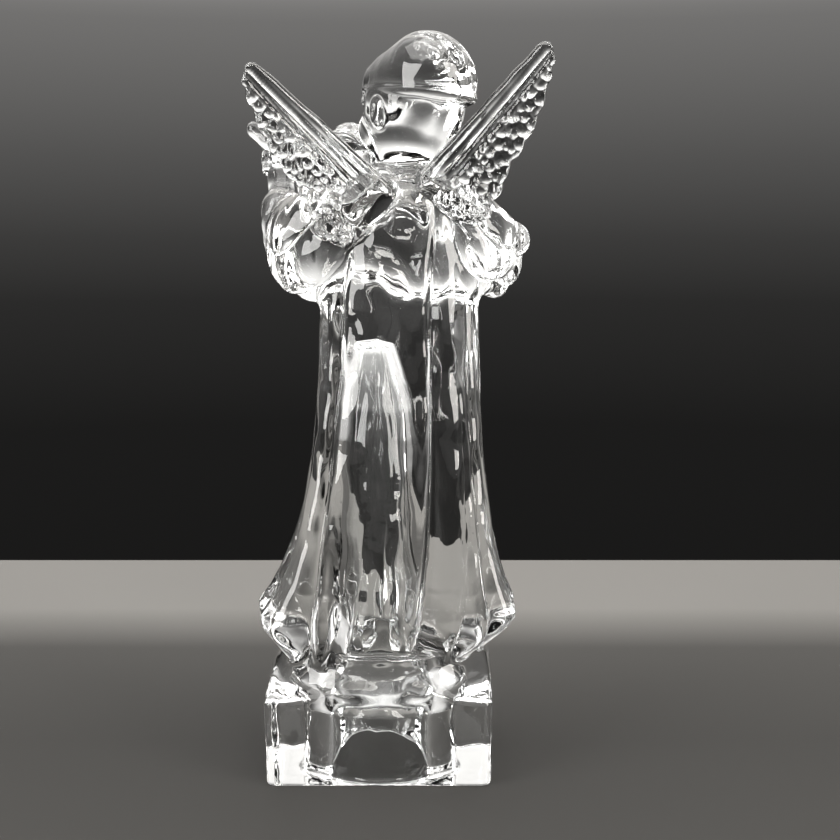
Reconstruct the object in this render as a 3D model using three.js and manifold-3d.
// Crystal glass figurine: a winged child musician in a long robe, standing on a block pedestal.
// Millimetres, +Z up. The figure faces -Y, so its left side is +X. The origin is on the ground,
// under the middle of the whole object. Every piece is clear pressed crystal, fused to its
// neighbours along a seam; trimmed neighbours keep the small SEAM gap between their solids.

import * as THREE from 'three';
import { mergeVertices } from 'three/addons/utils/BufferGeometryUtils.js';
import Module from 'manifold-3d';

const wasm = await Module();
wasm.setup();

// ---------------------------------------------------------------- driving dimensions, mm

const SEAM = 0.3;

// pedestal: a block with a curved plinth that rises to the waist under the robe
const BLOCK = { width: 72, depth: 56, corner: 3, bevel: 1.2, shoulder: 27.9, draft: 0.0006 };
const WAIST = { x: -1.5, width: 66, depth: 50, height: 40.5, flare: 0.12 };

// the hollow left by the pressing plunger, open at the underside
const HOLLOW = { top: 139.5, neck: 5, column: 14, mouth: 25 };

// robe
const HEM = { side: 52, back: 29, width: 85, depth: 46, tuck: 0.0015, least: 0.25 };
const ROBE = { width: 49, depth: 40.8, top: 150, lean: -6.6, flare: 30, square: 2.3 };
const FOLD = { top: 1.0, hem: 3.2, fade: 50, spread: 9 };
// each fold's groove: its direction round the robe in degrees, anticlockwise from +X, and depth
const GROOVES = [
  [18, 0.7], [48, 0.9], [124, 1.0], [147, 1.2], [168, 0.7], [198, 0.6],
  [224, 0.9], [249, 0.8], [275, 1.0], [301, 0.8], [326, 0.8], [347, 0.5],
];

// bodice and neck
const NECK = { x: -9.5, y: -1, radius: 6.6, base: 190, top: 201 };
const COLLAR = { radius: 9.6, thick: 1.9 };

// head: it looks down its own left arm, along the violin
const HEAD = { x: -10.6, y: -5, z: 211, turn: 38, across: 31, long: 36, tall: 37 };
const HAIR = { x: -15.4, y: 0, z: 217.8, across: 30.4, long: 34, tall: 33.4, edge: 213.6, slope: 6 };

// violin, bow
const VIOLIN = {
  tail: new THREE.Vector3(3, -14, 199.5),
  nut: new THREE.Vector3(34, -34.5, 200),
  scroll: new THREE.Vector3(43.6, -38, 207.4),
  body: 27, lower: 8.2, waist: 5.2, upper: 6.6, thick: 5, tilt: 58,
};
const BOW = { radius: 1.15, above: 7, below: 22, height: 5.4, at: 16, slant: 15 };

// wings
const WING = { length: 55, tipBack: 18, thick: 4.2, bevel: 1.1 };
// each wing's root, its leading edge's rise in degrees, and how long and deep it is beside the plan
const LEFT_WING = { root: [-2.4, 15, 188], rise: 42.5, side: 1, stretch: 1.04, chord: 1.12 };
const RIGHT_WING = { root: [-15, 15, 191.5], rise: 46.5, side: -1, stretch: 0.985, chord: 0.92 };

// arms: points down the middle, each x, y, z, half width, half height. A sleeve is two stretches.
const LEFT_SLEEVE = [
  [[5, 1, 182, 7, 7], [16, 3, 168.5, 11, 16.5], [25, -4, 166, 9.5, 15]],
  [[20, 6, 166, 10, 15], [27.5, -9, 169, 9.5, 17], [33, -24, 180, 6, 8]],
];
const RIGHT_SLEEVE = [
  [[-20, 1, 182, 8, 8], [-32, 4, 171, 11, 14], [-46.5, -2, 168.5, 5, 7]],
  [[-33, 6, 166, 9, 14], [-37, -8, 167, 10, 15], [-24, -23, 175, 8, 13], [-9, -33, 182, 5.5, 6.5]],
];
const LEFT_HAND = [
  [31, -18, 176, 4, 4.4], [33.5, -26, 184, 4.6, 4.8], [34.5, -31, 193, 4.6, 4.4],
  [34.5, -34, 201, 3.6, 3],
];
const RIGHT_HAND = [
  [-13, -31, 180, 4, 4], [-5, -34.5, 184, 4.6, 4.8], [1.5, -36.5, 187, 4.2, 4.6],
  [7, -38.5, 189, 3, 3.4],
];
const FOOT = { x: 11, y: -20, z: 37, width: 12, long: 18, tall: 12 };

const CRYSTAL = new THREE.MeshStandardMaterial({ color: 0xf2f5f6, roughness: 0.03, metalness: 0 });

// ---------------------------------------------------------------- helpers

const rad = THREE.MathUtils.degToRad;
const clamp = THREE.MathUtils.clamp;

// A closed three.js geometry as a solid.
function solid(geometry) {
  const bare = geometry.clone();
  bare.deleteAttribute('normal');
  bare.deleteAttribute('uv');
  const merged = mergeVertices(bare, 1e-4);
  return new wasm.Manifold(new wasm.Mesh({
    numProp: 3,
    vertProperties: new Float32Array(merged.attributes.position.array),
    triVerts: new Uint32Array(merged.index.array),
  }));
}

// Moves every vertex of a geometry to the place that a function gives it.
function shaped(geometry, place) {
  const position = geometry.attributes.position;
  const from = new THREE.Vector3();
  for (let i = 0; i < position.count; i += 1) {
    from.fromBufferAttribute(position, i);
    const to = place(from);
    position.setXYZ(i, to.x, to.y, to.z);
  }
  return geometry;
}

// A ball scaled to three half sizes, turned about Z, and moved.
function ellipsoid(centre, halves, turn = 0, segments = 20) {
  const ball = new THREE.SphereGeometry(1, segments, Math.round(segments * 0.6));
  ball.rotateX(Math.PI / 2);
  ball.scale(halves[0], halves[1], halves[2]);
  ball.rotateZ(rad(turn));
  ball.translate(centre[0], centre[1], centre[2]);
  return solid(ball);
}

// A solid with round ends along a smooth curve. Each stop is x, y, z, half width, half height.
function limb(stops, grow = 0, around = 14, along = 10) {
  const path = new THREE.CatmullRomCurve3(stops.map((s) => new THREE.Vector3(s[0], s[1], s[2])));
  const sizes = new THREE.CatmullRomCurve3(stops.map((s) => new THREE.Vector3(s[3], s[4], 0)));
  const up = new THREE.Vector3(0, 0, 1);
  const ball = new THREE.SphereGeometry(1, around, along);
  return solid(shaped(ball, (v) => {
    const t = clamp((1 - v.y) / 2, 0, 1);
    const middle = path.getPoint(t);
    const tangent = path.getTangent(t);
    const side = new THREE.Vector3().crossVectors(up, tangent).normalize();
    const rise = new THREE.Vector3().crossVectors(tangent, side).normalize();
    const size = sizes.getPoint(t);
    const girth = Math.hypot(v.x, v.z);
    const full = girth ** 0.55;
    const dx = girth > 0 ? v.x / girth : 0;
    const dz = girth > 0 ? v.z / girth : 0;
    const cap = grow * (2 * t - 1);
    return middle
      .addScaledVector(tangent, cap)
      .addScaledVector(side, dx * (size.x + grow) * full)
      .addScaledVector(rise, dz * (size.y + grow) * full);
  }));
}

// An outline pushed up by its thickness, with rounded edges, standing on z = -thick / 2.
function plate(shape, thick, bevel, steps = 6) {
  const body = new THREE.ExtrudeGeometry(shape, {
    depth: thick - 2 * bevel,
    bevelEnabled: true,
    bevelThickness: bevel,
    bevelSize: bevel,
    bevelOffset: -bevel,
    bevelSegments: 2,
    curveSegments: steps,
  });
  body.translate(0, 0, bevel - thick / 2);
  return body;
}

// ---------------------------------------------------------------- pedestal and hollow

function roundedBlock(grow = 0) {
  const w = BLOCK.width / 2 + grow;
  const d = BLOCK.depth / 2 + grow;
  const r = BLOCK.corner;
  const outline = new THREE.Shape();
  outline.moveTo(-w + r, -d);
  outline.lineTo(w - r, -d);
  outline.absarc(w - r, -d + r, r, -Math.PI / 2, 0);
  outline.lineTo(w, d - r);
  outline.absarc(w - r, d - r, r, 0, Math.PI / 2);
  outline.lineTo(-w + r, d);
  outline.absarc(-w + r, d - r, r, Math.PI / 2, Math.PI);
  outline.lineTo(-w, -d + r);
  outline.absarc(-w + r, -d + r, r, Math.PI, 1.5 * Math.PI);
  const tall = WAIST.height + 10;
  const block = plate(outline, tall, BLOCK.bevel, 4);
  block.translate(0, 0, tall / 2);
  return solid(shaped(block, (v) => {
    const narrowing = 1 - BLOCK.draft * Math.max(0, BLOCK.shoulder - v.z);
    return new THREE.Vector3(v.x * narrowing, v.y * narrowing, v.z);
  }));
}

// The plinth: level at the waist, then falling outwards to the block's shoulders.
function plinth(grow = 0) {
  const outermost = 1.75;
  const steps = 9;
  const profile = [new THREE.Vector2(0, -5)];
  profile.push(new THREE.Vector2(outermost, -5));
  for (let i = steps; i >= 0; i -= 1) {
    const out = 1 + (outermost - 1) * (i / steps) ** 1.8;
    const rise = (WAIST.height - BLOCK.shoulder) * Math.exp(-(out - 1) / WAIST.flare);
    profile.push(new THREE.Vector2(out, BLOCK.shoulder + rise + grow));
  }
  profile.push(new THREE.Vector2(0, WAIST.height + grow));
  const spun = new THREE.LatheGeometry(profile, 36);
  spun.rotateX(Math.PI / 2);
  spun.scale(WAIST.width / 2 + grow, WAIST.depth / 2 + grow, 1);
  spun.translate(WAIST.x, 0, 0);
  return solid(spun);
}

// A straight wall over the mouth, a rounded shoulder, and a cone that steepens to the top.
function hollow() {
  const { top, neck, column, mouth } = HOLLOW;
  const profile = [
    [0, -2], [mouth, -2], [mouth, 0], [mouth - 0.1, 10], [mouth - 0.5, 22], [mouth - 1.6, 25],
    [mouth - 4.2, 28.5], [mouth - 6.8, 32], [column + 3.2, 40], [column + 2, 55],
    [column + 0.6, 75], [column - 1.2, 100], [column - 1.8, 108], [column - 3, 117],
    [neck + 4.2, 125], [neck + 2.1, 132], [neck, top - 1.5], [0, top],
  ].map(([r, z]) => new THREE.Vector2(r, z));
  const spun = new THREE.LatheGeometry(profile, 24);
  spun.rotateX(Math.PI / 2);
  return solid(spun);
}

function pedestal() {
  return roundedBlock().intersect(plinth()).subtract(hollow());
}

// ---------------------------------------------------------------- robe and bodice

function grooveDepth(degrees) {
  let depth = 0;
  for (const [at, deep] of GROOVES) {
    const away = Math.abs(((degrees - at + 540) % 360) - 180);
    depth += deep * Math.exp(-((away / FOLD.spread) ** 1.4));
  }
  return depth;
}

function robeCentre(z) {
  return ROBE.lean + 5.1 * Math.exp(-(z - 45) / 30);
}

// The distance from the robe's middle line to its surface.
function robeRadius(angle, z) {
  const sine = Math.abs(Math.sin(angle));
  const hem = HEM.side + (HEM.back - HEM.side) * sine ** 1.5;
  const level = Math.max(z, hem);
  const spread = Math.exp(-(level - HEM.side) / ROBE.flare);
  const width = (ROBE.width + (HEM.width - ROBE.width) * Math.min(spread, 1)) / 2;
  const deep = Math.exp(-(level - HEM.side) / (ROBE.flare + 7));
  const depth = (ROBE.depth + (HEM.depth - ROBE.depth) * Math.min(deep, 1)) / 2;
  const p = ROBE.square;
  const round = Math.abs(Math.cos(angle) / width) ** p + (sine / depth) ** p;
  const groove = FOLD.top + FOLD.hem * Math.exp(-(level - 45) / FOLD.fade);
  const drape = round ** (-1 / p) - groove * grooveDepth(THREE.MathUtils.radToDeg(angle));
  return drape * Math.max(HEM.least, 1 - HEM.tuck * Math.max(0, hem - z) ** 2);
}

function robeSkirt(grow = 0) {
  const foot = 26.5;
  const tube = new THREE.CylinderGeometry(1, 1, 1, 60, 11);
  tube.rotateX(Math.PI / 2);
  return solid(shaped(tube, (v) => {
    const z = foot + (ROBE.top - foot) * clamp(v.z + 0.5, 0, 1) ** 1.4;
    const girth = Math.hypot(v.x, v.y);
    const angle = Math.atan2(v.y, v.x);
    const reach = girth > 0.5 ? robeRadius(angle, z) + grow : 0;
    const lift = z >= ROBE.top ? grow : 0;
    const x = robeCentre(z) + reach * Math.cos(angle);
    return new THREE.Vector3(x, reach * Math.sin(angle), z + lift);
  }));
}

function bodice(grow = 0) {
  const tall = NECK.base - ROBE.top;
  const tube = new THREE.CylinderGeometry(1, 1, 1, 36, 6);
  tube.rotateX(Math.PI / 2);
  return solid(shaped(tube, (v) => {
    const s = clamp(v.z + 0.5, 0, 1) ** 0.75;
    const shoulder = Math.sqrt(1 - s ** 3);
    const angle = Math.atan2(v.y, v.x);
    const width = COLLAR.radius + (ROBE.width / 2 - COLLAR.radius + 0.4) * shoulder;
    const depth = COLLAR.radius - 1 + (ROBE.depth / 2 - COLLAR.radius + 1.1) * shoulder;
    const oval = 1 / Math.hypot(Math.cos(angle) / width, Math.sin(angle) / depth);
    const groove = FOLD.top * grooveDepth(THREE.MathUtils.radToDeg(angle)) * (1 - s);
    const reach = Math.hypot(v.x, v.y) > 0.5 ? oval - groove + grow : 0;
    const x = robeCentre(ROBE.top) + (NECK.x - robeCentre(ROBE.top)) * s;
    const end = s <= 0 ? -grow : 0;
    const top = s >= 1 ? grow : 0;
    const z = ROBE.top + tall * s + end + top;
    return new THREE.Vector3(x + reach * Math.cos(angle), reach * Math.sin(angle), z);
  }));
}

// ---------------------------------------------------------------- head, hair, collar

// A point given in the head's own left, forward and up directions.
function onHead(left, forward, up) {
  const turn = rad(HEAD.turn);
  const x = HEAD.x + left * Math.cos(turn) + forward * Math.sin(turn);
  const y = HEAD.y + left * Math.sin(turn) - forward * Math.cos(turn);
  return [x, y, HEAD.z + up];
}

// A ball on the head, its half sizes along the head's left, forward and up directions.
function onFace(place, halves, grow, segments = 14) {
  return ellipsoid(onHead(...place), halves.map((h) => h + grow), HEAD.turn, segments);
}

function neck(grow = 0) {
  const tall = NECK.top - NECK.base;
  const stem = new THREE.CylinderGeometry(NECK.radius + grow, NECK.radius + grow, tall, 24);
  stem.rotateX(Math.PI / 2);
  stem.translate(NECK.x, NECK.y, NECK.base + tall / 2);
  return solid(stem);
}

// A calm, plain face on standard proportions: eyes at mid height, the nose tip a quarter down.
function head(grow = 0) {
  const { across, long, tall } = HEAD;
  let form = onFace([0, 0, 0], [across / 2, long / 2, tall / 2], grow, 24);
  form = form.add(onFace([0, 8.5, -10], [6.6, 6.4, 6.6], grow));
  for (const side of [-1, 1]) {
    form = form.add(onFace([side * 7, 9, -4.5], [4.8, 5.6, 4.8], grow, 12));
    form = form.add(onFace([side * across / 2, -1, -1], [1.8, 2.8, 4.2], grow, 10));
  }
  form = form.add(onFace([0, long / 2, -3.2], [1.7, 2.2, 2.4], grow, 10));
  return form.add(neck(grow));
}

function hairCap() {
  const { x, y, z, across, long, tall, edge, slope } = HAIR;
  const crown = ellipsoid([x, y, z], [across / 2, long / 2, tall / 2], HEAD.turn * 0.5, 24);
  const brow = onFace([0, 5, 9], [13.6, 14.2, 12.6], 0, 20);
  const slab = new THREE.BoxGeometry(80, 80, 40);
  slab.translate(0, 0, 20);
  slab.rotateY(rad(-slope));
  slab.translate(x, y, edge);
  return crown.add(brow).intersect(solid(slab)).subtract(head(SEAM));
}

function collar() {
  const ring = [];
  const sides = 8;
  for (let i = 0; i <= sides; i += 1) {
    const turn = (2 * Math.PI * i) / sides;
    const r = COLLAR.radius - 0.4 + COLLAR.thick * Math.cos(turn);
    ring.push(new THREE.Vector2(r, COLLAR.thick * (0.9 + Math.sin(turn))));
  }
  const band = new THREE.LatheGeometry(ring, 24);
  band.rotateX(Math.PI / 2);
  band.translate(NECK.x, NECK.y, NECK.base + SEAM + 0.2);
  return solid(band).subtract(head(SEAM)).subtract(bodice(SEAM));
}

// ---------------------------------------------------------------- violin and bow

// The violin's own directions: along its strings, across its body and out of its face.
function violinFrame() {
  const along = VIOLIN.nut.clone().sub(VIOLIN.tail).normalize();
  const level = new THREE.Vector3(along.y, -along.x, 0).normalize();
  const upright = new THREE.Vector3().crossVectors(level, along);
  if (upright.z < 0) upright.negate();
  const tilt = rad(VIOLIN.tilt);
  const outward = level.clone().multiplyScalar(Math.sign(-level.y));
  const face = outward.multiplyScalar(Math.sin(tilt)).addScaledVector(upright, Math.cos(tilt));
  const across = new THREE.Vector3().crossVectors(face, along).normalize();
  return new THREE.Matrix4().makeBasis(along, across, face).setPosition(VIOLIN.tail);
}

function onViolin(geometry) {
  return solid(geometry.applyMatrix4(violinFrame()));
}

function violinBody(grow = 0) {
  const { body, lower, waist, upper, thick } = VIOLIN;
  const outline = new THREE.Shape();
  outline.moveTo(-grow, 0);
  outline.bezierCurveTo(-grow, -lower, 3, -lower - grow, 7, -lower - grow);
  outline.bezierCurveTo(11, -lower - grow, 10.5, -waist - grow, 14.5, -waist - grow);
  outline.bezierCurveTo(18, -waist - grow, 17.5, -upper - grow, 21, -upper - grow);
  outline.bezierCurveTo(25, -upper - grow, body + grow, -4, body + grow, 0);
  outline.bezierCurveTo(body + grow, 4, 25, upper + grow, 21, upper + grow);
  outline.bezierCurveTo(17.5, upper + grow, 18, waist + grow, 14.5, waist + grow);
  outline.bezierCurveTo(10.5, waist + grow, 11, lower + grow, 7, lower + grow);
  outline.bezierCurveTo(3, lower + grow, -grow, lower, -grow, 0);
  return onViolin(plate(outline, thick + 2 * grow, 0.9, 5));
}

// The fingerboard runs to the nut, and the pegbox turns up from it to the scroll.
function violinNeck(grow = 0) {
  const reach = VIOLIN.nut.distanceTo(VIOLIN.tail);
  const start = 18;
  const shaft = new THREE.BoxGeometry(reach - start, 3.2 + 2 * grow, 3 + 2 * grow);
  shaft.translate((reach + start) / 2, 0, VIOLIN.thick / 2 + 1.6);
  const rise = VIOLIN.scroll.clone().sub(VIOLIN.nut);
  const pegbox = limb([
    [...VIOLIN.nut.clone().addScaledVector(rise, -0.35).toArray(), 2.9, 2.6],
    [...VIOLIN.nut.clone().addScaledVector(rise, 0.4).toArray(), 3, 2.9],
    [...VIOLIN.scroll.toArray(), 2.9, 2.9],
  ], grow);
  return onViolin(shaft).add(pegbox);
}

function bow(grow = 0) {
  const { radius, above, below, height, at, slant } = BOW;
  const span = above + below + 2 * grow;
  const stick = new THREE.CylinderGeometry(radius + grow, radius + grow, span, 10);
  stick.translate(0, (above - below) / 2, 0);
  stick.rotateZ(-rad(slant));
  stick.translate(at, 0, VIOLIN.thick / 2 + height);
  return onViolin(stick);
}

// ---------------------------------------------------------------- wings

function wingOutline() {
  const outline = new THREE.Shape();
  outline.moveTo(-3, 3);
  outline.quadraticCurveTo(-1, -1, 6, -1);
  outline.lineTo(49, -0.5);
  outline.quadraticCurveTo(WING.length + 1, 0, WING.length - 2, 3);
  outline.quadraticCurveTo(50, 4.5, 47, 5);
  outline.quadraticCurveTo(46.5, 8, 42, 9);
  outline.quadraticCurveTo(40, 12.5, 34.5, 13);
  outline.quadraticCurveTo(31, 17, 25, 17);
  outline.quadraticCurveTo(20, 20, 15, 18);
  outline.quadraticCurveTo(9, 23, 2, 21);
  outline.quadraticCurveTo(-7, 18, -3, 3);
  return outline;
}

// A wing on its root: its leading edge runs to the tip, and its feathers hang from it.
function wing({ root, rise, side, stretch, chord }) {
  const slope = rad(rise);
  const back = Math.asin(WING.tipBack / WING.length);
  const along = new THREE.Vector3(
    side * Math.cos(slope) * Math.cos(back), Math.sin(back), Math.sin(slope) * Math.cos(back),
  );
  const down = new THREE.Vector3(side * Math.sin(slope), 0, -Math.cos(slope));
  const normal = new THREE.Vector3().crossVectors(along, down).normalize();
  const across = new THREE.Vector3().crossVectors(normal, along);
  const frame = new THREE.Matrix4().makeBasis(along, across, normal).setPosition(...root);
  frame.scale(new THREE.Vector3(stretch, chord, 1));
  const blade = plate(wingOutline(), WING.thick, WING.bevel, 3).applyMatrix4(frame);
  const edge = new THREE.CylinderGeometry(1.4, 3, WING.length - 4, 12);
  edge.rotateZ(-Math.PI / 2);
  edge.translate(WING.length / 2 - 1.5, 2, 0);
  return solid(blade).add(solid(edge.applyMatrix4(frame)));
}

// ---------------------------------------------------------------- sleeves and feet

function sleeve([upperArm, forearm], grow = 0) {
  return limb(upperArm, grow).add(limb(forearm, grow));
}

// Toes and forefoot, showing under the front of the hem.
function foot(side) {
  const { x, y, z, width, long, tall } = FOOT;
  const centre = [WAIST.x + side * x, y, z];
  return ellipsoid(centre, [width / 2, long / 2, tall / 2], side * 10, 18);
}

// ---------------------------------------------------------------- assembly

const figurine = new THREE.Group();

function addPiece(name, form) {
  const mesh = form.getMesh();
  const geometry = new THREE.BufferGeometry();
  geometry.setAttribute('position', new THREE.BufferAttribute(mesh.vertProperties, 3));
  geometry.setIndex(new THREE.BufferAttribute(mesh.triVerts, 1));
  const piece = new THREE.Mesh(geometry, CRYSTAL.clone());
  piece.name = name;
  figurine.add(piece);
}

// A form with each neighbour cut out of it. The neighbours are already grown by the seam.
function trimmed(form, ...neighbours) {
  return neighbours.reduce((rest, neighbour) => rest.subtract(neighbour), form);
}

const block = roundedBlock(SEAM).intersect(plinth(SEAM));
const torso = bodice(SEAM);
const skirt = robeSkirt(SEAM);
const skull = head(SEAM);
const hair = hairCap();
const fiddle = violinBody(SEAM);
const fingerboard = violinNeck(SEAM);
const stick = bow(SEAM);
const leftSleeve = sleeve(LEFT_SLEEVE, SEAM);
const rightSleeve = sleeve(RIGHT_SLEEVE, SEAM);

addPiece('pedestal', pedestal());
addPiece('robe_skirt', trimmed(robeSkirt(), block, hollow()));
addPiece('bodice', bodice());
addPiece('collar', collar());
addPiece('head', head());
addPiece('hair_cap', hair);
addPiece('violin_body', trimmed(violinBody(), skull, torso));
addPiece('violin_neck', trimmed(violinNeck(), fiddle));
addPiece('bow', bow());
addPiece('left_sleeve', trimmed(sleeve(LEFT_SLEEVE), torso, skirt, fiddle, fingerboard));
addPiece('right_sleeve', trimmed(sleeve(RIGHT_SLEEVE), torso, skirt, fiddle, stick));
addPiece('left_hand', trimmed(limb(LEFT_HAND), leftSleeve, fingerboard, fiddle));
addPiece('right_hand', trimmed(limb(RIGHT_HAND), rightSleeve, stick, fiddle));
addPiece('left_wing', trimmed(wing(LEFT_WING), torso, leftSleeve, skull));
addPiece('right_wing', trimmed(wing(RIGHT_WING), torso, rightSleeve, skull));
addPiece('left_foot', trimmed(foot(1), skirt, block));
addPiece('right_foot', trimmed(foot(-1), skirt, block));

const box = new THREE.Box3().setFromObject(figurine);
figurine.position.set(-(box.min.x + box.max.x) / 2, -(box.min.y + box.max.y) / 2, -box.min.z);

export default figurine;
